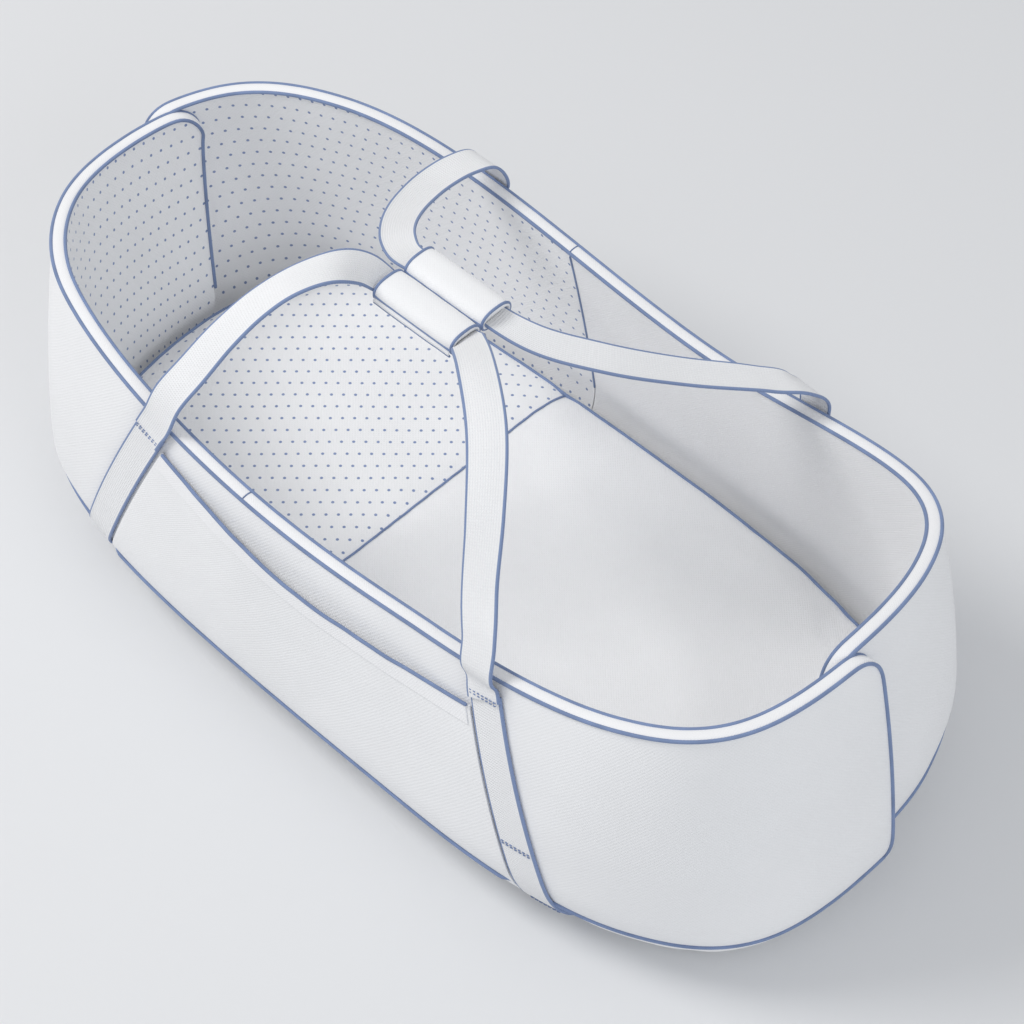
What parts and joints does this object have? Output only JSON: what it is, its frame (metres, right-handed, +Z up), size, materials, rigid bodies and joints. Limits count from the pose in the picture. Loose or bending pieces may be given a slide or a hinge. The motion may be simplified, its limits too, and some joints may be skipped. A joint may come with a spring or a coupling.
{
  "type": "soft bassinet with carry handles",
  "caption": "Soft-sided oval bassinet with overlapping padded walls, fitted mattress, side pocket and two webbing carry handles that meet at padded grips.",
  "frame": {"origin": "centre of the footprint, on the surface the bassinet stands on", "axes": "+X towards the foot end, +Z up, so +Y towards the far side, away from the pocket"},
  "size_m": [0.822, 0.4165, 0.3529],
  "materials": {
    "base_cloth": "matte woven",
    "board": "matte fibreboard",
    "outer_cloth": "matte woven",
    "padding": "matte wadding",
    "print_cloth": "matte woven with small dots",
    "plain_lining": "matte woven",
    "binding": "matte tape",
    "thread": "matte thread",
    "grip_cloth": "matte padded",
    "webbing": "matte ribbed webbing"
  },
  "bodies": {
    "cot": {"base_panel": "base_cloth", "base_board": "board", "base_lining": "base_cloth", "side_panel_near": "outer_cloth", "side_panel_far": "outer_cloth", "wall_padding_near": "padding", "wall_padding_far": "padding", "lining_head_near": "print_cloth", "lining_head_far": "print_cloth", "lining_foot_near": "plain_lining", "lining_foot_far": "plain_lining", "rim_binding_near": "binding", "rim_binding_far": "binding", "pocket": "outer_cloth", "pocket_hem": "binding", "mattress_foam": "padding", "mattress_cover_head": "print_cloth", "mattress_cover_foot": "plain_lining", "base_strap_head": "webbing", "base_strap_foot": "webbing", "wall_strap_near_head": "webbing", "wall_strap_near_foot": "webbing", "wall_strap_far_head": "webbing", "wall_strap_far_foot": "webbing", "strap_stitching": "thread"},
    "near_handle": {"handle_near": "webbing", "grip_near": "grip_cloth"},
    "far_handle": {"handle_far": "webbing", "grip_far": "grip_cloth"}
  },
  "joints": [
    {"name": "near_handle_swing", "type": "hinge", "parent": "cot", "child": "near_handle", "pos_m": [0, -0.1795, 0.222], "axis": [1, 0, 0], "range_deg": [0, 150]},
    {"name": "far_handle_swing", "type": "hinge", "parent": "cot", "child": "far_handle", "pos_m": [0, 0.1795, 0.222], "axis": [-1, 0, 0], "range_deg": [0, 150]}
  ]
}
